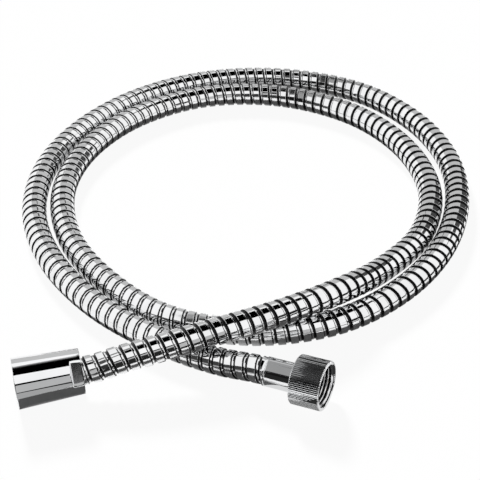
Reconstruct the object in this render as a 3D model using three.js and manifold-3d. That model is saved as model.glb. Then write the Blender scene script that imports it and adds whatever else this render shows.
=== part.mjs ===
// Shower hose: a flexible metal hose with a cone nut for the hand shower on one end and a
// knurled nut for the wall outlet on the other. It lies on a flat surface in two loose turns.
// Millimetres, +Z up. The origin is on the surface, under the middle of the whole.
// On each end fitting, w is the distance from the mouth of the nut along its axis to the hose.

import * as THREE from 'three';
import { mergeVertices } from 'three/addons/utils/BufferGeometryUtils.js';
import Module from 'manifold-3d';

const wasm = await Module();
wasm.setup();

// Fits
const CLEARANCE = 0.3;
const SWIVEL_CLEARANCE = 0.4;

// Hose: a wound metal armour round a rubber tube
const HOSE_RADIUS = 7;
const ARMOUR_WALL = 1.1;
const ARMOUR_NECK_WALL = 0.5;
const TUBE_WALL = 1.1;
const HOSE_SIDES = 12;
const ROUTE_STEPS = 80;

// Thread sockets, seals and the brass tails that both ends share
const THREAD_BORE_RADIUS = 9.35;
const MOUTH_CHAMFER = 1.3;
const SEAL_RADIUS = 9.2;
const SEAL_HOLE_RADIUS = 5.2;
const SEAL_THICKNESS = 2;
const FLANGE_RADIUS = 9.1;
const FLANGE_THICKNESS = 1.7;
const TAIL_BORE_RADIUS = 3;
const BARB_HEIGHT = 0.14;
const BARB_PITCH = 2.4;
const SLEEVE_WALL = 0.55;
const RIM_BEVEL = 0.4;

// Cone nut, at the hand shower
const CONE_LENGTH = 32.5;
const CONE_MOUTH_RADIUS = 12.5;
const CONE_HOSE_RADIUS = 11.1;
const CONE_SHOULDER = 13.9;
const CONE_FLATS_ACROSS = 19;
const CONE_FLATS_LENGTH = 6.3;
const CONE_FLATS_TURN = 143;

// Knurled nut, at the wall outlet
const KNURLED_LENGTH = 15.5;
const KNURLED_RADIUS = 12.25;
const KNURLED_SHOULDER = 12.9;
const KNURLED_MOUTH_RIM = 11.9;
const KNURLED_HOSE_RIM = 11.9;
const KNURLED_BEVEL = 0.6;
const RIDGE_COUNT = 80;
const RIDGE_DEPTH = 0.3;

// Tails and sleeves: how far each runs past the shoulder of its nut
const COLLAR_RUN = 6.1;
const CONE_STEM_RUN = 15.1;
const CONE_SLEEVE_RUN = 15.6;
const KNURLED_STEM_RUN = 18.1;
const KNURLED_SLEEVE_RUN = 18.6;

const FINE_SEGMENTS = 48;
const TURNED_SEGMENTS = 32;

// How the ends lie: place of the mouth, heading of the axis towards the hose, and its rise
const HANDSET_END = { x: -111.5, y: -152.6, heading: 13.7, rise: 2.7 };
const WALL_END = { x: 37.3, y: -155, heading: 156, rise: -3 };
const STRAIGHT_RUN = 5;

// Route of the hose between its two straight ends. It leaves the cone nut, climbs over its own
// two outer strands and comes down into the inner turn; the outer turn lies beside that one.
const ROUTE = [
  [-61, -140, 17], [-22.5, -127.5, 21.4], [17.5, -109.5, 21.8], [47, -89, 19.1],
  [72.5, -59.5, 10.8], [97.5, -22.5, 7.2], [107.5, 23, 7], [96.5, 71.5, 7],
  [67.5, 111, 7], [22.5, 134, 7], [-27.5, 133, 7], [-70, 107.5, 7],
  [-97.5, 67.5, 7], [-107.5, 22.5, 7], [-99.7, -23.7, 7], [-77.1, -63.1, 7],
  [-42.6, -95.3, 7], [1, -107.7, 7], [46, -99, 7], [82, -72.5, 7],
  [108, -35, 7], [122, 10, 7], [122.5, 56.5, 7], [107, 101.5, 7],
  [74.5, 139, 7], [26.5, 157.5, 7], [-24.5, 154.5, 7], [-69, 131.5, 7],
  [-102, 94, 7], [-120.5, 48.5, 7], [-122, -1, 7], [-106.5, -47.5, 7],
  [-78.8, -86.2, 7], [-43.6, -114.8, 7], [-15.5, -130, 7.3],
];

// Sizes that follow from the ones above
const flatRadius = (radius) => radius * Math.cos(Math.PI / HOSE_SIDES);
const ARMOUR_BORE = HOSE_RADIUS - ARMOUR_WALL;
const NECK_RADIUS = ARMOUR_BORE + ARMOUR_NECK_WALL;
const TUBE_RADIUS = flatRadius(ARMOUR_BORE) - CLEARANCE;
const TUBE_BORE = TUBE_RADIUS - TUBE_WALL;
const STEM_RADIUS = flatRadius(TUBE_BORE) - CLEARANCE;
const SLEEVE_BORE = NECK_RADIUS + CLEARANCE;
const SLEEVE_RADIUS = SLEEVE_BORE + SLEEVE_WALL;
const COLLAR_RADIUS = SLEEVE_BORE - CLEARANCE;
const SWIVEL_RADIUS = SLEEVE_RADIUS + SWIVEL_CLEARANCE;
const SEAT_RADIUS = Math.max(SEAL_RADIUS, FLANGE_RADIUS) + CLEARANCE;

// Both nuts share one socket: these are its depths for a nut with the given shoulder.
function socketDepths(shoulder) {
  const flangeTop = shoulder - CLEARANCE;
  const flangeFoot = flangeTop - FLANGE_THICKNESS;
  const sealTop = flangeFoot - CLEARANCE;
  return { shoulder, flangeTop, flangeFoot, sealTop, sealFoot: sealTop - SEAL_THICKNESS };
}

const vectors = (points) => points.map(([x, y]) => new THREE.Vector2(x, y));

// A closed outline of [radius, w] pairs turned round the w axis, which becomes +Z.
function turned(outline, segments = TURNED_SEGMENTS) {
  const geometry = new THREE.LatheGeometry(vectors([...outline, outline[0]]), segments);
  return geometry.rotateX(Math.PI / 2);
}

function ring(outer, inner, from, to, segments) {
  return turned([[inner, from], [outer, from], [outer, to], [inner, to]], segments);
}

function polygon(radius, sides) {
  const corners = [];
  for (let i = 0; i < sides; i += 1) {
    const angle = (i / sides) * 2 * Math.PI;
    corners.push(new THREE.Vector2(radius * Math.cos(angle), radius * Math.sin(angle)));
  }
  return corners;
}

function solid(geometry) {
  const bare = geometry.clone();
  bare.deleteAttribute('normal');
  bare.deleteAttribute('uv');
  const merged = mergeVertices(bare, 1e-4);
  return new wasm.Manifold(new wasm.Mesh({
    numProp: 3,
    vertProperties: merged.attributes.position.array,
    triVerts: Uint32Array.from(merged.index.array),
  }));
}

function fromSolid(manifold) {
  const { vertProperties, triVerts } = manifold.getMesh();
  const geometry = new THREE.BufferGeometry();
  geometry.setAttribute('position', new THREE.BufferAttribute(vertProperties, 3));
  geometry.setIndex(new THREE.BufferAttribute(triVerts, 1));
  geometry.computeVertexNormals();
  return geometry;
}

// The frame of an end: +Z runs along its axis to the hose, +X lies level, +Y points up.
function endFrame({ x, y, heading, rise }, height) {
  const turn = THREE.MathUtils.degToRad(heading);
  const tilt = THREE.MathUtils.degToRad(rise);
  const along = new THREE.Vector3(
    Math.cos(tilt) * Math.cos(turn), Math.cos(tilt) * Math.sin(turn), Math.sin(tilt));
  const side = new THREE.Vector3(0, 0, 1).cross(along).normalize();
  const over = along.clone().cross(side);
  return new THREE.Matrix4().makeBasis(side, over, along).setPosition(x, y, height);
}

// A round nut stands on the rim at w, so its mouth is this high above the surface.
function mouthHeight(rimRadius, w, rise) {
  const tilt = THREE.MathUtils.degToRad(rise);
  return rimRadius * Math.cos(tilt) - w * Math.sin(tilt);
}

const handsetFrame = endFrame(HANDSET_END, mouthHeight(CONE_MOUTH_RADIUS, RIM_BEVEL, HANDSET_END.rise));
const wallFrame = endFrame(
  WALL_END, mouthHeight(KNURLED_RADIUS, KNURLED_LENGTH - KNURLED_BEVEL, WALL_END.rise));

// Where the hose begins on each end, just clear of the tail's collar, and where its sleeve stops
const handsetHoseStart = CONE_SHOULDER + COLLAR_RUN + CLEARANCE;
const wallHoseStart = KNURLED_SHOULDER + COLLAR_RUN + CLEARANCE;
const handsetSleeveEnd = CONE_SHOULDER + CONE_SLEEVE_RUN;
const wallSleeveEnd = KNURLED_SHOULDER + KNURLED_SLEEVE_RUN;

const onAxis = (frame, w) => new THREE.Vector3(0, 0, w).applyMatrix4(frame);

function hoseRoute() {
  const handsetBend = Math.max(CONE_LENGTH, handsetSleeveEnd) + STRAIGHT_RUN;
  const wallBend = Math.max(KNURLED_LENGTH, wallSleeveEnd) + STRAIGHT_RUN;
  const route = new THREE.CatmullRomCurve3([
    onAxis(handsetFrame, handsetHoseStart), onAxis(handsetFrame, handsetBend),
    ...ROUTE.map((point) => new THREE.Vector3(...point)),
    onAxis(wallFrame, wallBend), onAxis(wallFrame, wallHoseStart),
  ], false, 'centripetal');
  route.arcLengthDivisions = 2000;
  return route;
}

function hoseSweep(route, outer, inner) {
  const section = new THREE.Shape(polygon(outer, HOSE_SIDES));
  section.holes.push(new THREE.Path(polygon(inner, HOSE_SIDES)));
  return new THREE.ExtrudeGeometry(section, { steps: ROUTE_STEPS, extrudePath: route });
}

// The armour's last turns are squeezed down to a neck, which the sleeve covers.
function armourGeometry(route) {
  const neckCut = (frame, start, end) => solid(
    ring(HOSE_RADIUS + 1, NECK_RADIUS, start - 1, end + CLEARANCE, TURNED_SEGMENTS).applyMatrix4(frame));
  return fromSolid(solid(hoseSweep(route, HOSE_RADIUS, ARMOUR_BORE))
    .subtract(neckCut(handsetFrame, handsetHoseStart, handsetSleeveEnd))
    .subtract(neckCut(wallFrame, wallHoseStart, wallSleeveEnd)));
}

// The inside of a nut, from its mouth to its hose end, as an outline that runs back to the mouth.
function socketOutline(length, depths) {
  const threadEnd = depths.sealFoot - CLEARANCE;
  return [
    [SWIVEL_RADIUS, length], [SWIVEL_RADIUS, depths.shoulder], [SEAT_RADIUS, depths.shoulder],
    [SEAT_RADIUS, threadEnd], [THREAD_BORE_RADIUS, threadEnd],
    [THREAD_BORE_RADIUS, MOUTH_CHAMFER], [THREAD_BORE_RADIUS + MOUTH_CHAMFER, 0],
  ];
}

// Plain cone nut with two spanner flats on its small end.
function coneNutGeometry() {
  const blank = turned([
    [CONE_MOUTH_RADIUS - RIM_BEVEL, 0], [CONE_MOUTH_RADIUS, RIM_BEVEL],
    [CONE_HOSE_RADIUS, CONE_LENGTH - RIM_BEVEL], [CONE_HOSE_RADIUS - RIM_BEVEL, CONE_LENGTH],
    ...socketOutline(CONE_LENGTH, socketDepths(CONE_SHOULDER)),
  ], FINE_SEGMENTS);
  let nut = solid(blank);
  for (const turn of [CONE_FLATS_TURN, CONE_FLATS_TURN + 180]) {
    const depth = CONE_MOUTH_RADIUS;
    const block = new THREE.BoxGeometry(depth, 2 * CONE_MOUTH_RADIUS, 2 * CONE_FLATS_LENGTH);
    block.translate((CONE_FLATS_ACROSS + depth) / 2, 0, CONE_LENGTH);
    block.rotateZ(THREE.MathUtils.degToRad(turn));
    nut = nut.subtract(solid(block));
  }
  return fromSolid(nut);
}

// Ridges all round, as a prism that is cut to length by the bevels of the nut's blank.
function ridgePrism() {
  const profile = [];
  for (let i = 0; i < 2 * RIDGE_COUNT; i += 1) {
    const angle = (i / RIDGE_COUNT) * Math.PI;
    const radius = KNURLED_RADIUS - (i % 2) * RIDGE_DEPTH;
    profile.push(new THREE.Vector2(radius * Math.cos(angle), radius * Math.sin(angle)));
  }
  const prism = new THREE.ExtrudeGeometry(
    new THREE.Shape(profile), { depth: KNURLED_LENGTH + 2, bevelEnabled: false });
  return prism.translate(0, 0, -1);
}

function knurledNutGeometry() {
  const over = KNURLED_RADIUS + RIDGE_DEPTH;
  const blank = turned([
    [KNURLED_MOUTH_RIM, 0], [over, KNURLED_BEVEL],
    [over, KNURLED_LENGTH - KNURLED_BEVEL], [KNURLED_HOSE_RIM, KNURLED_LENGTH],
    ...socketOutline(KNURLED_LENGTH, socketDepths(KNURLED_SHOULDER)),
  ], RIDGE_COUNT);
  return fromSolid(solid(blank).intersect(solid(ridgePrism())));
}

// Brass tail: a flange under the nut's shoulder, a collar in the sleeve, and a barbed stem
// that the rubber tube is pushed over.
function tailGeometry(shoulder, stemRun) {
  const { flangeFoot, flangeTop } = socketDepths(shoulder);
  const collarEnd = shoulder + COLLAR_RUN;
  const stemEnd = shoulder + stemRun;
  const outline = [
    [TAIL_BORE_RADIUS, flangeFoot], [FLANGE_RADIUS, flangeFoot], [FLANGE_RADIUS, flangeTop],
    [COLLAR_RADIUS, flangeTop], [COLLAR_RADIUS, collarEnd], [STEM_RADIUS, collarEnd],
  ];
  for (let w = collarEnd + BARB_PITCH; w < stemEnd; w += BARB_PITCH) {
    outline.push([STEM_RADIUS, w - BARB_HEIGHT], [STEM_RADIUS - BARB_HEIGHT, w]);
  }
  outline.push([STEM_RADIUS - BARB_HEIGHT, stemEnd], [TAIL_BORE_RADIUS, stemEnd]);
  return turned(outline);
}

function sealGeometry(shoulder) {
  const { sealFoot, sealTop } = socketDepths(shoulder);
  return ring(SEAL_RADIUS, SEAL_HOLE_RADIUS, sealFoot, sealTop);
}

// Thin crimped sleeve over the collar and the neck of the armour; the nut turns on it.
function sleeveGeometry(shoulder, run) {
  return ring(SLEEVE_RADIUS, SLEEVE_BORE, shoulder + CLEARANCE, shoulder + run);
}

const material = (name, color, roughness, metalness) => (
  new THREE.MeshStandardMaterial({ name, color, roughness, metalness }));
const polishedSteel = () => material('polished_steel', 0xd9dcdf, 0.15, 1);
const chromePlate = () => material('chrome_plate', 0xdfe2e5, 0.06, 1);
const satinChrome = () => material('satin_chrome', 0xc9cccf, 0.2, 1);
const plainBrass = () => material('plain_brass', 0xc8a964, 0.3, 1);
const tubeRubber = () => material('tube_rubber', 0x1d1d1e, 0.7, 0);
const sealRubber = () => material('seal_rubber', 0x232324, 0.8, 0);

function piece(name, geometry, look) {
  const mesh = new THREE.Mesh(geometry, look);
  mesh.name = name;
  return mesh;
}

function fitting(frame, pieces) {
  const group = new THREE.Group();
  group.applyMatrix4(frame);
  group.add(...pieces);
  return group;
}

const route = hoseRoute();
const showerHose = new THREE.Group();
showerHose.add(
  piece('hose_armour', armourGeometry(route), polishedSteel()),
  piece('inner_tube', hoseSweep(route, TUBE_RADIUS, TUBE_BORE), tubeRubber()),
  fitting(handsetFrame, [
    piece('handset_cone_nut', coneNutGeometry(), chromePlate()),
    piece('handset_tail', tailGeometry(CONE_SHOULDER, CONE_STEM_RUN), plainBrass()),
    piece('handset_seal', sealGeometry(CONE_SHOULDER), sealRubber()),
    piece('handset_sleeve', sleeveGeometry(CONE_SHOULDER, CONE_SLEEVE_RUN), satinChrome()),
  ]),
  fitting(wallFrame, [
    piece('wall_knurled_nut', knurledNutGeometry(), chromePlate()),
    piece('wall_tail', tailGeometry(KNURLED_SHOULDER, KNURLED_STEM_RUN), plainBrass()),
    piece('wall_seal', sealGeometry(KNURLED_SHOULDER), sealRubber()),
    piece('wall_sleeve', sleeveGeometry(KNURLED_SHOULDER, KNURLED_SLEEVE_RUN), satinChrome()),
  ]),
);

export default showerHose;
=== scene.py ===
# Shower hose: a wound metal hose lying in two loose turns, with a plain cone nut for the hand
# shower and a knurled nut with its sleeve for the wall outlet. Metres, +Z up, floor at z = 0.
from math import cos, pi, radians, sin

import bmesh
import bpy
import numpy as np
from mathutils import Matrix, Vector


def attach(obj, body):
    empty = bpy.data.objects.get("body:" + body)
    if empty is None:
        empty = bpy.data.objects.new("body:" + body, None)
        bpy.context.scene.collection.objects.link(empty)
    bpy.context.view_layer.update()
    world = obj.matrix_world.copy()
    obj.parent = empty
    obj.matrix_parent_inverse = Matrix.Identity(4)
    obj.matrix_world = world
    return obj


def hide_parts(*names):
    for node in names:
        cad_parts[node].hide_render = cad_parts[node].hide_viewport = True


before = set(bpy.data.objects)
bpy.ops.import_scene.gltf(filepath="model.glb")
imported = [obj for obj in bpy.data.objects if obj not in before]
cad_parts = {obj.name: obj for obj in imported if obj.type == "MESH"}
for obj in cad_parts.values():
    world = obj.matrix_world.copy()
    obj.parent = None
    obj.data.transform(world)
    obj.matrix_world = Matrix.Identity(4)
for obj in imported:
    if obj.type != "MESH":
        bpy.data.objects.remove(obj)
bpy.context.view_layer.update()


# Camera. It stands in front of the hose and looks down on it at the photograph's angle, with a
# long lens: a square picture of 480 pixels is 1300 focal pixels away.
PICTURE_PIXELS = 480
FOCAL_PIXELS = 1300
DEGREES_DOWN = 35.8
camera_data = bpy.data.cameras.new("camera")
camera_data.sensor_width = 36
camera_data.lens = camera_data.sensor_width * FOCAL_PIXELS / PICTURE_PIXELS
camera_data.clip_end = 20
camera = bpy.data.objects.new("camera", camera_data)
camera.location = (-0.004, -0.615, 0.4305)
camera.rotation_euler = (radians(90 - DEGREES_DOWN), 0, 0)
bpy.context.collection.objects.link(camera)
bpy.context.scene.camera = camera


# Hose route. The line that the hose's middle follows: straight out of the cone nut, up over its
# own two outer strands, round the inner turn and the outer turn, and straight into the sleeve
# of the wall end. Each end has a frame: +Z along its axis to the hose, from the nut's mouth.
def end_frame(mouth, heading, rise):
    """heading in degrees from +X towards +Y, rise in degrees above level."""
    turn, tilt = radians(heading), radians(rise)
    along = Vector((cos(tilt) * cos(turn), cos(tilt) * sin(turn), sin(tilt)))
    side = Vector((0, 0, 1)).cross(along).normalized()
    over = along.cross(side)
    return Matrix.Translation(mouth) @ Matrix((side, over, along)).transposed().to_4x4()


def smooth_line(points, per_span=60):
    """A centripetal Catmull-Rom curve through the points, sampled closely."""
    p = np.array(points)
    p = np.vstack([2 * p[0] - p[1], p, 2 * p[-1] - p[-2]])
    u = np.linspace(0, 1, per_span, endpoint=False)[:, None]
    spans = []
    for a, b, c, d in zip(p, p[1:], p[2:], p[3:]):
        ab, bc, cd = (np.sqrt(np.linalg.norm(q - r)) for q, r in ((b, a), (c, b), (d, c)))
        out = ((b - a) / ab - (c - a) / (ab + bc) + (c - b) / bc) * bc
        into = ((c - b) / bc - (d - b) / (bc + cd) + (d - c) / cd) * bc
        spans.append(b + out * u + (3 * (c - b) - 2 * out - into) * u**2
                     + (2 * (b - c) + out + into) * u**3)
    return np.vstack(spans + [p[-2:-1]])


# The middle of each nut's mouth, then how far behind it the hose starts, the sleeve ends and the
# hose begins to bend.
HANDSET_MOUTH = (-0.1115, -0.1526, 0.012467)
HANDSET_HOSE_START, HANDSET_SLEEVE_END, HANDSET_STRAIGHT = 0.0203, 0.0295, 0.0375
WALL_MOUTH = (0.0373, -0.155, 0.013013)
WALL_HOSE_START, WALL_SLEEVE_END, WALL_STRAIGHT = 0.0193, 0.0315, 0.0365
handset_end = end_frame(HANDSET_MOUTH, heading=13.7, rise=2.7)
wall_end = end_frame(WALL_MOUTH, heading=156, rise=-3)
ROUTE_MM = [
    (-61, -140, 17), (-22.5, -127.5, 21.4), (17.5, -109.5, 21.8), (47, -89, 19.1),
    (72.5, -59.5, 10.8), (97.5, -22.5, 7.2), (107.5, 23, 7), (96.5, 71.5, 7),
    (67.5, 111, 7), (22.5, 134, 7), (-27.5, 133, 7), (-70, 107.5, 7),
    (-97.5, 67.5, 7), (-107.5, 22.5, 7), (-99.7, -23.7, 7), (-77.1, -63.1, 7),
    (-42.6, -95.3, 7), (1, -107.7, 7), (46, -99, 7), (82, -72.5, 7),
    (108, -35, 7), (122, 10, 7), (122.5, 56.5, 7), (107, 101.5, 7),
    (74.5, 139, 7), (26.5, 157.5, 7), (-24.5, 154.5, 7), (-69, 131.5, 7),
    (-102, 94, 7), (-120.5, 48.5, 7), (-122, -1, 7), (-106.5, -47.5, 7),
    (-78.8, -86.2, 7), (-43.6, -114.8, 7), (-15.5, -130, 7.3),
]
hose_line = smooth_line(
    [handset_end @ Vector((0, 0, w)) for w in (HANDSET_HOSE_START, HANDSET_STRAIGHT)]
    + [Vector(point) / 1000 for point in ROUTE_MM]
    + [wall_end @ Vector((0, 0, w)) for w in (WALL_STRAIGHT, WALL_HOSE_START)])
line_run = np.concatenate([[0], np.cumsum(np.linalg.norm(np.diff(hose_line, axis=0), axis=1))])
line_heading = np.gradient(hose_line, axis=0)
HOSE_LENGTH = float(line_run[-1])


# Materials come from one class. It wraps a socket of a node tree, so that sums and masks are
# written as Python expressions, and adds any other node by its type, settings and inputs.
class Shade:
    def __init__(self, tree, socket=None):
        self.tree, self.socket = tree, socket

    def node(self, kind, settings=None, inputs=None, output=0):
        made = self.tree.nodes.new("ShaderNode" + kind)
        for name, value in (settings or {}).items():
            setattr(made, name, value)
        for name, value in (inputs or {}).items():
            if isinstance(value, Shade):
                self.tree.links.new(value.socket, made.inputs[name])
            else:
                made.inputs[name].default_value = value
        return Shade(self.tree, made.outputs[output])

    def _math(self, operation, first, second):
        return self.node("Math", {"operation": operation}, {0: first, 1: second})

    def __add__(self, other): return self._math("ADD", self, other)
    def __radd__(self, other): return self._math("ADD", other, self)
    def __rsub__(self, other): return self._math("SUBTRACT", other, self)
    def __mul__(self, other): return self._math("MULTIPLY", self, other)
    def __rmul__(self, other): return self._math("MULTIPLY", other, self)

    def step(self, low, high):
        """0 below low, 1 above high, smooth between; low may be above high."""
        return self.node("MapRange", {"interpolation_type": "SMOOTHSTEP"},
                         {"Value": self, "From Min": low, "From Max": high})

    def mix(self, first, second):
        """first where this mask is 0, second where it is 1; both are colours."""
        colors = [value if isinstance(value, Shade) else (*value, 1) for value in (first, second)]
        # A Mix node's sockets for colours are its inputs 6 and 7 and its output 2.
        return self.node("Mix", {"data_type": "RGBA"}, {0: self, 6: colors[0], 7: colors[1]}, 2)


def new_material(name):
    """A material's shading tree, with only its output and a Principled shader in it."""
    material = bpy.data.materials.new(name)
    material.use_nodes = True
    return material, Shade(material.node_tree)


def finish_material(shade, varying, same=None):
    """Links what varies over the surface and sets what is the same all over."""
    shader = shade.tree.nodes["Principled BSDF"]
    for name, value in varying.items():
        shade.tree.links.new(value.socket, shader.inputs[name])
    for name, value in (same or {}).items():
        shader.inputs[name].default_value = value


# Hose armour. A stainless strip, rolled to a hooked section and wound into a tube, so that each
# turn shows as a raised band with a narrower band and a dark slit beside it. The rubber tube
# runs inside it, and its last turns are squeezed down into the sleeves at both ends.
WINDING_PITCH, WINDING_SIDES = 0.00631, 30
LINER_RINGS, CORD_POINTS = 120, 600
WELD = 1e-6
BAND_TOP, BAND_EDGE, BEAD_TOP, BEAD_EDGE, SLIT = 0.007, 0.00692, 0.0063, 0.00615, 0.00597
NECK_RADIUS = 0.00638
LINER_RADIUS = 0.0059
# One turn of the winding, as (share of the pitch, radius).
WINDING_SECTION = [
    (0.00, SLIT), (0.055, BAND_EDGE), (0.075, BAND_TOP), (0.62, BAND_TOP), (0.64, BAND_EDGE),
    (0.66, SLIT), (0.69, BEAD_EDGE), (0.73, BEAD_TOP), (0.81, BEAD_TOP), (0.86, BEAD_EDGE),
    (0.88, SLIT),
]


def on_route(run, turn, radius):
    """Points at that run along the hose, that share of a turn round it and that radius."""
    middle = np.stack([np.interp(run, line_run, hose_line[:, k]) for k in range(3)], axis=1)
    ahead = np.stack([np.interp(run, line_run, line_heading[:, k]) for k in range(3)], axis=1)
    ahead /= np.linalg.norm(ahead, axis=1)[:, None]
    side = np.cross(np.array([0, 0, 1.0]), ahead)
    side /= np.linalg.norm(side, axis=1)[:, None]
    over = np.cross(ahead, side)
    angle = 2 * pi * turn[:, None]
    return middle + radius[:, None] * (side * np.cos(angle) + over * np.sin(angle))


def on_axis(matrix):
    """The same for a straight axis: run along the matrix's +Z."""
    def place(run, turn, radius):
        angle = 2 * pi * turn
        local = np.stack([radius * np.cos(angle), radius * np.sin(angle), run], axis=1)
        return local @ np.array(matrix.to_3x3()).T + np.array(matrix.translation)
    return place


def wound(place, section, pitch, sides, start, end, limit):
    """A grid wound round a line like a screw thread: its rows follow the section, one turn
    after the other, and limit(run, radius) caps the radius, which closes both ends level."""
    turns = int(np.ceil((end - start) / pitch)) + 1
    rows = turns * len(section)
    # The flat grid runs from 0 to 1 both ways: across is the turn, and up are the rows.
    bm = bmesh.new()
    bmesh.ops.create_grid(bm, x_segments=sides, y_segments=rows, size=0.5)
    spot = np.array([v.co[:2] for v in bm.verts]) + 0.5
    row = np.rint(spot[:, 1] * rows).astype(int)
    shares, radii = (np.array(column) for column in zip(*section))
    along = (row // len(section) + shares[row % len(section)] + spot[:, 0] - 1) * pitch
    run = np.clip(start + along, start, end)
    radius = limit(run, radii[row % len(section)])
    for vertex, point in zip(bm.verts, place(run, spot[:, 0], radius)):
        vertex.co = point
    pattern = bm.loops.layers.uv.new("winding")
    rows_of = dict(zip(bm.verts, row))
    turn_of = dict(zip(bm.verts, spot[:, 0]))
    for face in bm.faces:
        lowest = min(rows_of[v] for v in face.verts)
        low = shares[lowest % len(section)]
        high = shares[(lowest + 1) % len(section)] or 1.0
        for loop in face.loops:
            across = low if rows_of[loop.vert] == lowest else high
            loop[pattern].uv = (across, turn_of[loop.vert])
    bmesh.ops.remove_doubles(bm, verts=bm.verts, dist=WELD)
    return bm


def finished(name, bm, materials, body, stands_for, sharp):
    """Turns a bmesh into a piece on a body that stands for a CAD node. Edges above sharp, in
    degrees, stay sharp."""
    bmesh.ops.recalc_face_normals(bm, faces=bm.faces)
    mesh = bpy.data.meshes.new(name)
    bm.to_mesh(mesh)
    bm.free()
    for material in materials:
        mesh.materials.append(material)
    mesh.shade_smooth()
    mesh.set_sharp_from_angle(angle=radians(sharp))
    piece = bpy.data.objects.new(name, mesh)
    bpy.context.collection.objects.link(piece)
    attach(piece, body)
    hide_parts(*stands_for)
    return piece


def neck_limit(run, radius):
    """Squeezes the winding to a neck under both sleeves and closes its ends level there."""
    under_sleeve = (run < HANDSET_SLEEVE_END - HANDSET_HOSE_START) | (
        run > HOSE_LENGTH - (WALL_SLEEVE_END - WALL_HOSE_START))
    squeezed = np.where(under_sleeve, np.minimum(radius, NECK_RADIUS), radius)
    return np.where((run <= 0) | (run >= HOSE_LENGTH), NECK_RADIUS, squeezed)


armour = wound(on_route, WINDING_SECTION, WINDING_PITCH, WINDING_SIDES, 0, HOSE_LENGTH, neck_limit)
liner = bmesh.ops.create_grid(armour, x_segments=WINDING_SIDES, y_segments=LINER_RINGS, size=0.5)
liner_spot = np.array([v.co[:2] for v in liner["verts"]]) + 0.5
liner_places = on_route(liner_spot[:, 1] * HOSE_LENGTH, liner_spot[:, 0],
                        np.full(len(liner_spot), LINER_RADIUS))
for vertex, point in zip(liner["verts"], liner_places):
    vertex.co = point
bmesh.ops.remove_doubles(armour, verts=armour.verts, dist=WELD)
for line_end in (Vector(hose_line[0]), Vector(hose_line[-1])):
    rim = [edge for edge in armour.edges if edge.is_boundary
           and (edge.verts[0].co - line_end).length < 2 * BAND_TOP]
    bmesh.ops.bridge_loops(armour, edges=rim)


def polished_strip():
    """Bright stainless strip with faint smudges, dark in the slits of WINDING_SECTION."""
    material, shade = new_material("polished_strip")
    across = shade.node("SeparateXYZ", None, {0: shade.node("UVMap", {"uv_map": "winding"})})
    slit = across.step(0.066, 0.054) + across.step(0.85, 0.865) + (
        across.step(0.635, 0.645) * across.step(0.69, 0.675))
    place = shade.node("TexCoord", output="Object")
    smudge = shade.node("TexNoise", None, {"Vector": place, "Scale": 90.0, "Detail": 4.0})
    metal = smudge.step(0.35, 0.7).mix((0.86, 0.865, 0.87), (0.93, 0.935, 0.94))
    finish_material(shade, {
        "Base Color": slit.mix(metal, (0.012, 0.012, 0.013)),
        "Roughness": 0.03 + 0.05 * smudge + 0.3 * slit,
        "Metallic": 1.0 - 0.6 * slit,
    })
    return material


hose = finished("hose_winding", armour, [polished_strip()], "hose",
                ["hose_armour"], sharp=20)


# Turned parts. Both nuts, the tails, the seals and the sleeves are round about the axis of
# their end: each is an outline of (radius, distance from the mouth) spun round that axis.
def spun(outline, steps, matrix, shape=None):
    """Spins the closed outline; shape(point) may move a point of the result before it is placed."""
    bm = bmesh.new()
    corners = [bm.verts.new((radius, 0, w)) for radius, w in outline]
    edges = [bm.edges.new(pair) for pair in zip(corners, corners[1:] + corners[:1])]
    bmesh.ops.spin(bm, geom=corners + edges, cent=(0, 0, 0), axis=(0, 0, 1), dvec=(0, 0, 0),
                   angle=2 * pi, steps=steps, use_merge=True, use_normal_flip=False,
                   use_duplicate=False)
    bmesh.ops.remove_doubles(bm, verts=bm.verts, dist=0.1 * WELD)
    if shape:
        for vertex in bm.verts:
            vertex.co = shape(vertex.co)
    bmesh.ops.transform(bm, matrix=matrix, verts=bm.verts)
    return bm


# Cone nut. Chrome-plated brass, turned to a plain cone, with two spanner flats milled on its
# small end and a G 1/2 thread cut inside its mouth. It turns freely on the sleeve behind it.
def chrome_plate():
    """Mirror chrome with faint wiping marks."""
    material, shade = new_material("chrome_plate")
    place = shade.node("TexCoord", output="Object")
    smudge = shade.node("TexNoise", None, {"Vector": place, "Scale": 55.0, "Detail": 5.0})
    metal = smudge.step(0.3, 0.7).mix((0.87, 0.88, 0.89), (0.93, 0.935, 0.94))
    finish_material(shade, {"Base Color": metal, "Roughness": 0.015 + 0.03 * smudge},
                    {"Metallic": 1.0})
    return material


def socket_metal():
    """The inside of a nut: thinner plating that has dulled, and painted shade, near black, in the
    thread's roots.
    """
    material, shade = new_material("socket_metal")
    across = shade.node("SeparateXYZ", None, {0: shade.node("UVMap", {"uv_map": "winding"})})
    # Painted shade: the thread's roots are drawn near black, as shade falls in them.
    root_shade = across.step(0.16, 0.3) * across.step(0.68, 0.62)
    place = shade.node("TexCoord", output="Object")
    dulling = shade.node("TexNoise", None, {"Vector": place, "Scale": 400.0, "Detail": 3.0})
    metal = dulling.step(0.3, 0.7).mix((0.84, 0.84, 0.85), (0.74, 0.74, 0.75))
    finish_material(shade, {"Base Color": root_shade.mix(metal, (0.02, 0.02, 0.021)),
                            "Roughness": 0.06 + 0.08 * dulling + 0.2 * root_shade},
                    {"Metallic": 1.0})
    return material


# A G 1/2 thread: its pitch, the radius of its crests and roots, and one turn of it, as (share of
# the pitch, radius).
THREAD_PITCH = 0.001814
THREAD_CREST, THREAD_ROOT = 0.00935, 0.01045
THREAD_SECTION = [
    (0.0, THREAD_CREST), (0.12, THREAD_CREST), (0.34, THREAD_ROOT - 0.0001),
    (0.48, THREAD_ROOT), (0.6, THREAD_ROOT - 0.0001), (0.76, THREAD_CREST + 0.00028),
    (0.87, THREAD_CREST + 0.0001),
]


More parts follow.
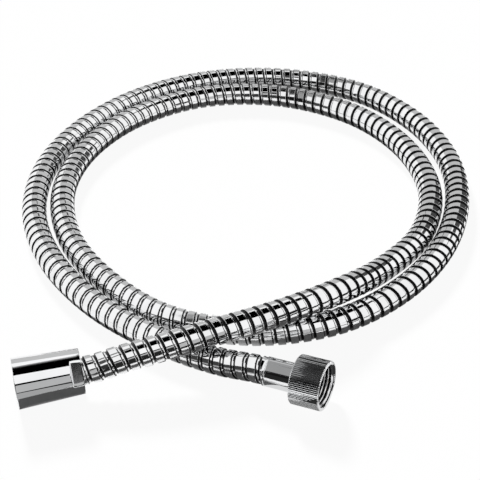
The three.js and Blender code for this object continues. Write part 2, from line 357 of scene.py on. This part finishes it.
def thread(matrix, sides, start, end):
    """The cut thread inside a nut, from its run-in in the chamfer to its run-out."""
    def cut(run, radius):
        return np.where(run >= end, THREAD_CREST, np.where(
            run <= start, CHAMFER_RADIUS - start, np.maximum(radius, CHAMFER_RADIUS - run)))
    return wound(on_axis(matrix), THREAD_SECTION, THREAD_PITCH, sides, start, end, cut)


def joined(first, second):
    """Adds the second bmesh to the first and merges the ring that they share."""
    carried = bpy.data.meshes.new("carried")
    second.to_mesh(carried)
    second.free()
    first.from_mesh(carried)
    bpy.data.meshes.remove(carried)
    bmesh.ops.remove_doubles(first, verts=first.verts, dist=2 * WELD)
    return first


def arc(middle_radius, middle_w, radius, start, end, steps=4):
    """Points of a rounded edge, from angle start to end in degrees, 0 outwards and 90 to +w."""
    angles = [radians(start + (end - start) * i / steps) for i in range(steps + 1)]
    return [(middle_radius + radius * cos(a), middle_w + radius * sin(a)) for a in angles]


# The chamfer's radius at the mouth, where the thread starts in it, the bore that turns on the
# sleeve, its small bevel, and the wider bore round the seal.
CHAMFER_RADIUS, THREAD_START = 0.01065, 0.00022
SWIVEL_RADIUS, SWIVEL_BEVEL, SEAT_RADIUS = 0.00765, 0.0003, 0.0095


def nut_inside(length, shoulder, thread_end):
    """The outline from a nut's hose end through its bore to the chamfer of its mouth, with a
    plain wall where the wound thread comes."""
    return [(SWIVEL_RADIUS + SWIVEL_BEVEL, length), (SWIVEL_RADIUS, length - SWIVEL_BEVEL),
            (SWIVEL_RADIUS, shoulder), (SEAT_RADIUS, shoulder), (SEAT_RADIUS, thread_end),
            (THREAD_CREST, thread_end), (CHAMFER_RADIUS - THREAD_START, THREAD_START),
            (CHAMFER_RADIUS, 0)]


def with_thread(bm, matrix, sides, length, thread_end):
    """Puts the wound thread in place of the plain wall of the bore, and gives all the inside
    faces the second material."""
    inverse = matrix.inverted()
    wall = []
    for face in bm.faces:
        middle = inverse @ face.calc_center_median()
        if middle.xy.length > CHAMFER_RADIUS:
            continue
        if middle.z < length - 2 * SWIVEL_BEVEL:
            face.material_index = 1
        if THREAD_START < middle.z < thread_end - WELD:
            wall.append(face)
    bmesh.ops.delete(bm, geom=wall, context="FACES_ONLY")
    turns = thread(matrix, sides, THREAD_START, thread_end)
    for face in turns.faces:
        face.material_index = 1
    return joined(bm, turns)


CONE_LENGTH, CONE_MOUTH, CONE_SMALL, CONE_SHOULDER = 0.0325, 0.0125, 0.0111, 0.0139
CONE_THREAD_END = 0.0093
CONE_ROUND, CONE_LEAN = 0.0004, -3
# How far the flats lie from the axis, how long they are and how they are turned; then how wide
# the rounded border at their start is, how round their edges are, and how far outside the cone
# the border starts.
FLAT_DISTANCE, FLAT_LENGTH, FLAT_TURN = 0.0095, 0.0063, radians(143)
FLAT_BORDER, FLAT_CORNER, FLAT_OUTSIDE = 0.0013, 0.0006, 0.0009
FLAT_RING_GAP = 0.00016
NUT_SIDES = 192
cone_rise = (CONE_MOUTH - CONE_SMALL) / CONE_LENGTH
flat_start = CONE_LENGTH - FLAT_LENGTH


def cone_radius(w):
    return CONE_MOUTH - cone_rise * w


def with_flats(spot):
    """Moves what lies beyond a flat on to it, with rounded borders all round the flat."""
    if spot.z < flat_start:
        return spot
    turned = Matrix.Rotation(-FLAT_TURN, 3, "Z") @ spot
    beyond = abs(turned.x)
    into = min((spot.z - flat_start) / FLAT_BORDER, 1)
    fading = 1 - into**2 * (3 - 2 * into)
    limit = FLAT_DISTANCE + (CONE_SMALL + FLAT_OUTSIDE - FLAT_DISTANCE) * fading
    blend = min(max(0.5 + 0.5 * (limit - beyond) / FLAT_CORNER, 0), 1)
    level = limit + (beyond - limit) * blend - FLAT_CORNER * blend * (1 - blend)
    turned.x = level if turned.x > 0 else -level
    return Matrix.Rotation(FLAT_TURN, 3, "Z") @ turned


# Rings on the cone: near the mouth, halfway, closely through the flats' border, then on the flats.
cone_rings = ([0.0006, 0.0009, 0.006, 0.016, flat_start - 0.0004]
              + [flat_start + ring * FLAT_RING_GAP for ring in range(9)]
              + [flat_start + 0.003, flat_start + 0.0045])
cone_outline = (
    arc(CONE_MOUTH - CONE_ROUND, CONE_ROUND, CONE_ROUND, -90, CONE_LEAN)
    + [(cone_radius(w), w) for w in cone_rings]
    + arc(CONE_SMALL - CONE_ROUND, CONE_LENGTH - CONE_ROUND, CONE_ROUND, CONE_LEAN, 90)
    + nut_inside(CONE_LENGTH, CONE_SHOULDER, CONE_THREAD_END))
cone = with_thread(spun(cone_outline, NUT_SIDES, handset_end, with_flats),
                   handset_end, NUT_SIDES, CONE_LENGTH, CONE_THREAD_END)
chrome, socket = chrome_plate(), socket_metal()
finished("cone_nut", cone, [chrome, socket], "handset_nut",
         ["handset_cone_nut"], sharp=25)


# Knurled nut. Chrome-plated brass with straight ridges rolled round it for the fingers, a
# bevel at each end and the same thread inside. It turns freely on the wall sleeve.
KNURLED_LENGTH, KNURLED_RADIUS, KNURLED_SHOULDER = 0.0155, 0.01225, 0.0129
KNURLED_THREAD_END = 0.0083
KNURLED_RIM, KNURLED_BEVEL, KNURLED_ROUND = 0.0119, 0.0004, 0.00015
RIDGE_COUNT, RIDGE_STEPS, RIDGE_DEPTH = 80, 6, 0.0003
# Groove faces deeper than this share of the groove get the painted groove shade.
DARK_FROM = 0.6
ridge_sides = RIDGE_COUNT * RIDGE_STEPS


def groove_share(spot):
    """0 on a ridge's land, 1 at the bottom of the groove between two ridges."""
    phase = RIDGE_COUNT * np.arctan2(spot.y, spot.x) / (2 * pi) % 1
    return min(max((1 / 3 - abs(phase - 0.5)) * RIDGE_STEPS, 0), 1)


def with_ridges(spot):
    """Sinks the grooves between the ridges, fading out at the bevels."""
    distance = spot.xy.length
    full = min(max((distance - KNURLED_RIM) / (KNURLED_RADIUS - KNURLED_RIM), 0), 1)
    factor = 1 - RIDGE_DEPTH * full * groove_share(spot) / distance
    return Vector((spot.x * factor, spot.y * factor, spot.z))


def groove_shadow():
    """Chrome in the grooves, painted near black as the shade that falls in them, with a faint
    mottle.
    """
    material, shade = new_material("groove_shadow")
    place = shade.node("TexCoord", output="Object")
    shade_mottle = shade.node("TexNoise", None, {"Vector": place, "Scale": 500.0, "Detail": 3.0})
    # Painted shade: near black, with a faint random mottle.
    metal = shade_mottle.step(0.3, 0.7).mix((0.05, 0.05, 0.052), (0.09, 0.09, 0.092))
    finish_material(shade, {"Base Color": metal, "Roughness": 0.25 + 0.15 * shade_mottle},
                    {"Metallic": 1.0})
    return material


knurled_ends = (KNURLED_BEVEL, KNURLED_LENGTH - KNURLED_BEVEL)
knurled_outline = (
    arc(KNURLED_RIM - KNURLED_ROUND, KNURLED_ROUND, KNURLED_ROUND, -90, -40, 2)
    + [(KNURLED_RADIUS, w) for w in knurled_ends]
    + arc(KNURLED_RIM - KNURLED_ROUND, KNURLED_LENGTH - KNURLED_ROUND, KNURLED_ROUND, 40, 90, 2)
    + nut_inside(KNURLED_LENGTH, KNURLED_SHOULDER, KNURLED_THREAD_END))
knurled = spun(knurled_outline, ridge_sides, wall_end, with_ridges)
to_end = wall_end.inverted()
# The faces deep in the grooves of the grip get the third material, the painted groove shade.
for face in knurled.faces:
    middle = to_end @ face.calc_center_median()
    on_grip = (middle.xy.length > KNURLED_RADIUS - 1.5 * RIDGE_DEPTH
               and knurled_ends[0] < middle.z < knurled_ends[1])
    if on_grip and groove_share(middle) > DARK_FROM:
        face.material_index = 2
knurled = with_thread(knurled, wall_end, ridge_sides, KNURLED_LENGTH, KNURLED_THREAD_END)
finished("knurled_nut", knurled, [chrome, socket, groove_shadow()], "wall_nut",
         ["wall_knurled_nut"], sharp=30)


# Sleeves. Thin drawn and plated tubes, crimped over the last turns of the winding and over the
# tail, with a rolled rim at the hose end. The wall one shows between its nut and the hose.
SLEEVE_BORE, SLEEVE_RADIUS, RIM_ROLL, RIM_PROUD = 0.0067, 0.00725, 0.0003, 0.00005
SLEEVE_SIDES = 96
# The crimped groove by the rim, as (distance from the sleeve's hose end, depth).
CRIMP = [(0.0019, 0), (0.0016, 0.00015), (0.0014, 0.00015), (0.0011, -RIM_PROUD)]
# Where one piece lies against another they keep this much apart.
SEATED_GAP = 0.0003


def sleeve_outline(start, end):
    return ([(SLEEVE_BORE, start), (SLEEVE_RADIUS, start)]
            + [(SLEEVE_RADIUS - depth, end - back) for back, depth in CRIMP]
            + arc(SLEEVE_RADIUS + RIM_PROUD - RIM_ROLL, end - RIM_ROLL, RIM_ROLL, 0, 90)
            + [(SLEEVE_BORE, end)])


for name, matrix, start, end in (
        ("handset_sleeve", handset_end, CONE_SHOULDER + SEATED_GAP, HANDSET_SLEEVE_END),
        ("wall_sleeve", wall_end, KNURLED_SHOULDER + SEATED_GAP, WALL_SLEEVE_END)):
    finished(name + "_drawn", spun(sleeve_outline(start, end), SLEEVE_SIDES, matrix), [chrome],
             "hose", [name], sharp=25)


# Tails. Turned brass inserts: a flange that the nut's shoulder pulls against the seal, a collar
# in the sleeve, and a barbed stem that the rubber tube is pushed on to.
TAIL_BORE, FLANGE_RADIUS, COLLAR_RADIUS, STEM_RADIUS = 0.003, 0.0091, 0.0064, 0.00385
FLANGE_THICKNESS, COLLAR_RUN, BARB_PITCH, BARB_DEPTH = 0.0017, 0.0061, 0.0024, 0.00014
TAIL_EDGE, TAIL_BEVEL, TAIL_SIDES = 0.0002, 0.0003, 64


def turned_brass():
    """Unplated brass, a little tarnished."""
    material, shade = new_material("turned_brass")
    place = shade.node("TexCoord", output="Object")
    tarnish = shade.node("TexNoise", None, {"Vector": place, "Scale": 300.0, "Detail": 4.0})
    metal = tarnish.step(0.3, 0.7).mix((0.72, 0.55, 0.26), (0.6, 0.43, 0.18))
    finish_material(shade, {"Base Color": metal, "Roughness": 0.22 + 0.18 * tarnish},
                    {"Metallic": 1.0})
    return material


def tail_outline(shoulder, stem_run):
    """From the flange's foot out and up to the stem's tip, where the outline closes in the bore."""
    top = shoulder - SEATED_GAP
    foot = top - FLANGE_THICKNESS
    collar_end, stem_end = shoulder + COLLAR_RUN, shoulder + stem_run
    outline = [(TAIL_BORE, foot + TAIL_BEVEL), (TAIL_BORE + TAIL_BEVEL, foot),
               (FLANGE_RADIUS - TAIL_EDGE, foot), (FLANGE_RADIUS, foot + TAIL_EDGE),
               (FLANGE_RADIUS, top), (COLLAR_RADIUS, top),
               (COLLAR_RADIUS, collar_end), (STEM_RADIUS, collar_end)]
    for barb in range(1, int((stem_end - collar_end) / BARB_PITCH) + 1):
        w = collar_end + BARB_PITCH * barb
        outline += [(STEM_RADIUS, w - BARB_DEPTH), (STEM_RADIUS - BARB_DEPTH, w)]
    return outline + [(STEM_RADIUS - TAIL_EDGE, stem_end), (TAIL_BORE, stem_end)]


brass = turned_brass()
for name, matrix, shoulder, stem_run in (
        ("handset_tail", handset_end, CONE_SHOULDER, 0.0151),
        ("wall_tail", wall_end, KNURLED_SHOULDER, 0.0181)):
    finished(name + "_turned", spun(tail_outline(shoulder, stem_run), TAIL_SIDES, matrix),
             [brass], "hose", [name], sharp=25)


# Seals. Flat rubber washers, punched from sheet, that lie in the nuts' mouths against the flanges
# of the tails. The thread on the other part presses them tight.
SEAL_OUTER, SEAL_INNER, SEAL_THICKNESS, SEAL_ROUND, SEAL_SIDES = 0.0092, 0.0052, 0.002, 0.0002, 64


def matt_rubber(name, dark, pale):
    """Matt black rubber with a fine dusty mottle."""
    material, shade = new_material(name)
    place = shade.node("TexCoord", output="Object")
    mottle = shade.node("TexNoise", None, {"Vector": place, "Scale": 700.0, "Detail": 3.0})
    relief = shade.node("Bump", None, {"Height": mottle, "Strength": 0.15, "Distance": 0.0002})
    finish_material(shade, {"Base Color": mottle.mix(dark, pale),
                            "Roughness": 0.6 + 0.2 * mottle, "Normal": relief})
    return material


def seal_outline(shoulder):
    top = shoulder - SEATED_GAP - FLANGE_THICKNESS - SEATED_GAP
    corners = ((SEAL_OUTER - SEAL_ROUND, top - SEAL_THICKNESS + SEAL_ROUND, -90),
               (SEAL_OUTER - SEAL_ROUND, top - SEAL_ROUND, 0),
               (SEAL_INNER + SEAL_ROUND, top - SEAL_ROUND, 90),
               (SEAL_INNER + SEAL_ROUND, top - SEAL_THICKNESS + SEAL_ROUND, 180))
    return [point for radius, w, start in corners
            for point in arc(radius, w, SEAL_ROUND, start, start + 90, 3)]


seal_rubber = matt_rubber("seal_rubber", (0.03, 0.03, 0.031), (0.05, 0.05, 0.051))
for name, matrix, shoulder in (("handset_seal", handset_end, CONE_SHOULDER),
                               ("wall_seal", wall_end, KNURLED_SHOULDER)):
    finished(name + "_washer", spun(seal_outline(shoulder), SEAL_SIDES, matrix), [seal_rubber],
             "hose", [name], sharp=50)


# Rubber tube. Extruded black rubber that carries the water inside the armour, pushed on to the
# tails' barbs at both ends. Nothing of it shows, so it keeps its plain solid.
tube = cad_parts["inner_tube"]
tube.data.materials.clear()
tube.data.materials.append(matt_rubber("tube_rubber", (0.02, 0.02, 0.021), (0.035, 0.035, 0.036)))


# Floor, flags and light. The floor is plain white. Black, grey and light flags that only mirrors
# see give the chrome something to show. Most stand or hang round the hose out of the picture, and
# some cards lie on the floor in front of the hose or under its wall end.
ROOM, CEILING = 1.3, 1.2
FLOOR_REACH, CARD_LIFT = 4, 0.0005
GLOW_REACH = 0.03


def panel(name, corners, material):
    bm = bmesh.new()
    bm.faces.new([bm.verts.new(corner) for corner in corners])
    mesh = bpy.data.meshes.new(name)
    bm.to_mesh(mesh)
    bm.free()
    mesh.materials.append(material)
    sheet = bpy.data.objects.new(name, mesh)
    bpy.context.collection.objects.link(sheet)
    return sheet


def seen(shade, camera, mirror):
    """camera for what the camera sees directly, mirror for what metal shows of it, else 0."""
    direct = shade.node("LightPath", output="Is Camera Ray")
    mirrored = (shade.node("LightPath", output="Is Glossy Ray")
                + shade.node("LightPath", output="Is Transmission Ray"))
    not_lighting = shade.node("LightPath", output="Diffuse Depth").step(0.5, 0.4)
    return camera * direct + mirror * (mirrored * not_lighting)


def floor_white():
    """White paper. To the camera it is mostly lit from within, so that its shadow is faint. The
    light that it throws back is weak, and mirrors see a glow on it where the hose touches it."""
    material, shade = new_material("floor_white")
    thrown_back = shade.node("LightPath", output="Diffuse Depth").step(0.4, 0.5)
    clear_above = shade.node("AmbientOcclusion", {"samples": 8}, {"Distance": GLOW_REACH}, "AO")
    touching = clear_above.step(0.45, 0.05)
    paper = thrown_back.mix((0.95, 0.95, 0.95), (0.08, 0.08, 0.08))
    finish_material(shade, {"Base Color": paper}, {"Roughness": 0.9, "Specular IOR Level": 0.0})
    diffuse = Shade(shade.tree, shade.tree.nodes["Principled BSDF"].outputs[0])
    lit = shade.node("Emission", None, {"Color": (1, 1, 1, 1), "Strength": 1.0})
    both = shade.node("MixShader", None,
                      {0: seen(shade, 0.94, 0.03 + 0.5 * touching), 1: diffuse, 2: lit})
    shade.tree.links.new(both.socket, shade.tree.nodes["Material Output"].inputs[0])
    return material


panel("floor", [(x * FLOOR_REACH, y * FLOOR_REACH, 0)
                for x, y in ((-1, -1), (1, -1), (1, 1), (-1, 1))], floor_white())


def flag(name, level, corners):
    """A sheet that only mirrors see, and that glows evenly: 0 is black and 1 is white."""
    material, shade = new_material("flag_" + name + "_cloth")
    finish_material(shade, {}, {"Base Color": (0, 0, 0, 1), "Roughness": 1.0,
                                "Specular IOR Level": 0.0, "Emission Strength": 1.0,
                                "Emission Color": (level, level, level, 1)})
    sheet = panel("flag_" + name, corners, material)
    sheet.visible_camera = False
    sheet.visible_diffuse = False
    sheet.visible_shadow = False


def overhead(*corners):
    return [(x, y, CEILING) for x, y in corners]


def upright(y, *corners):
    return [(x, y, z) for x, z in corners]


def on_floor(*corners):
    return [(x, y, CARD_LIFT) for x, y in corners]


# Two strips run side by side overhead: a grey one that shows in the wall sleeve, and a dark one
# that shows in the knurled nut.
strip_line = [(-0.05, ROOM), (-0.119, 0.9), (-0.205, 0.519), (-0.314, 0.233), (-0.414, 0.0),
              (-0.524, -0.233), (-0.652, -0.467), (-0.829, -0.733), (-1.0, -0.95)]
for name, level, left, right in (("grey", 0.33, -0.06, 0.03), ("dark", 0.04, 0.03, 0.1)):
    flag("above_" + name, level, overhead(*[(x + left, y) for x, y in strip_line],
                                          *[(x + right, y) for x, y in reversed(strip_line)]))

# Overhead, then behind, then in front and at the sides.
flag("above", 0.0,
     overhead((-0.245, 0.5), (-0.235, -0.41), (0.64, -0.41), (0.64, 0.6), (0.1, 0.8)))
flag("above_left", 0.07, overhead((-0.5, -1.15), (-0.2, -1.15), (-0.2, -0.35), (-0.33, -0.35)))
flag("above_corner", 0.02,
     overhead((-ROOM, -ROOM), (-0.8, -ROOM), (-0.88, -0.95), (-ROOM, -0.95)))
flag("behind", 0.55,
     upright(ROOM + 0.01, (-0.6, 0), (0.9, 0), (0.9, CEILING), (-0.6, CEILING)))
flag("behind_dark_strip", 0.045,
     upright(ROOM, (0.05, 0.55), (0.2, 0.55), (0.2, 0.74), (0.05, 0.74)))
flag("right_behind", 0.06,
     [(0.9, ROOM, 0), (ROOM, 0.85, 0), (ROOM, 0.85, 0.9), (0.9, ROOM, 1.0)])
flag("front_left", 0.008,
     upright(-ROOM, (-ROOM, 0), (-0.85, 0), (-0.85, CEILING), (-ROOM, CEILING)))
flag("left_front", 0.05,
     [(-ROOM, -ROOM, 0), (-ROOM, -0.75, 0), (-ROOM, -0.75, 0.8), (-ROOM, -ROOM, CEILING)])
flag("front", 0.035, upright(-ROOM, (-0.85, 0), (0.12, 0), (0.12, 1.0), (-0.85, 1.05)))
flag("front_right", 0.5, upright(-ROOM, (0.12, 0), (0.9, 0), (0.9, 0.745), (0.12, 0.745)))
flag("front_line", 0.0, upright(-ROOM, (0.12, 0.745), (0.6, 0.745), (0.6, 0.98), (0.12, 0.98)))
flag("right_front", 0.02,
     [(ROOM, -1.25, 0.1), (ROOM, -0.8, 0.1), (ROOM, -0.8, 0.55), (ROOM, -1.25, 0.55)])

# Cards on the floor: the two wide ones show in the cone nut and the near strands, the next three
# in the mouth and the ridges of the knurled nut and in its sleeve, and the last in the right
# strands. Of those three, the first two are painted shadow, dark where the knurled nut's contact
# shadow and cast shadow fall, and the third is a painted pool of light on the floor under its
# foot. The low one stands upright and shows in the near strands.
flag("front_card", 0.4,
     on_floor((-ROOM, -ROOM), (-0.045, -ROOM), (-0.045, -0.206), (-0.06, -0.185),
              (-0.11, -0.183), (-ROOM, -0.206)))
flag("front_dark_card", 0.02,
     on_floor((-0.045, -ROOM), (ROOM, -ROOM), (0.125, -0.206), (-0.045, -0.206)))
# Painted shadow: a dark sheet where the knurled nut's contact shadow falls beside its mouth.
flag("mouth_shadow_card", 0.05,
     on_floor((0.0435, -0.162), (0.058, -0.162), (0.058, -0.129), (0.0435, -0.129)))
# Painted shadow: a dark sheet where the knurled nut's own cast shadow falls in front of it.
flag("knurled_shadow_card", 0.03,
     on_floor((0.006, -0.204), (0.045, -0.204), (0.045, -0.181), (0.006, -0.161)))
# Painted light: a bright sheet on the floor under the knurled nut's foot, where it stands in shade.
flag("nut_foot_light_card", 0.75,
     on_floor((0.006, -0.161), (0.045, -0.181), (0.045, -0.14), (0.006, -0.14)))
flag("front_low", 0.02, upright(-0.21, (-0.058, 0), (0, 0), (0, 0.05), (-0.058, 0.05)))
flag("right_card", 0.03, on_floor((0.115, -0.22), (ROOM, -ROOM), (ROOM, 0.5), (0.195, 0.3)))

# The world lights the hose weakly, and the camera and mirrors see it white.
AMBIENT = 0.06
studio = bpy.data.worlds.new("studio")
studio.use_nodes = True
bpy.context.scene.world = studio
sky = Shade(studio.node_tree)
strength = AMBIENT + seen(sky, 1 - AMBIENT, 1 - AMBIENT)
background = studio.node_tree.nodes["Background"]
studio.node_tree.links.new(strength.socket, background.inputs["Strength"])
background.inputs["Color"].default_value = (1, 1, 1, 1)

# The lamp stands behind, as in the photograph, and mirrors don't show it.
key_data = bpy.data.lights.new("key", "SUN")
key_data.energy, key_data.angle = 5.3, radians(10)
key = bpy.data.objects.new("key", key_data)
key.rotation_euler = Vector((0.25, -0.8, -0.58)).to_track_quat("-Z", "Y").to_euler()
key.visible_glossy = False
bpy.context.collection.objects.link(key)

bpy.context.scene.view_settings.view_transform = "Standard"
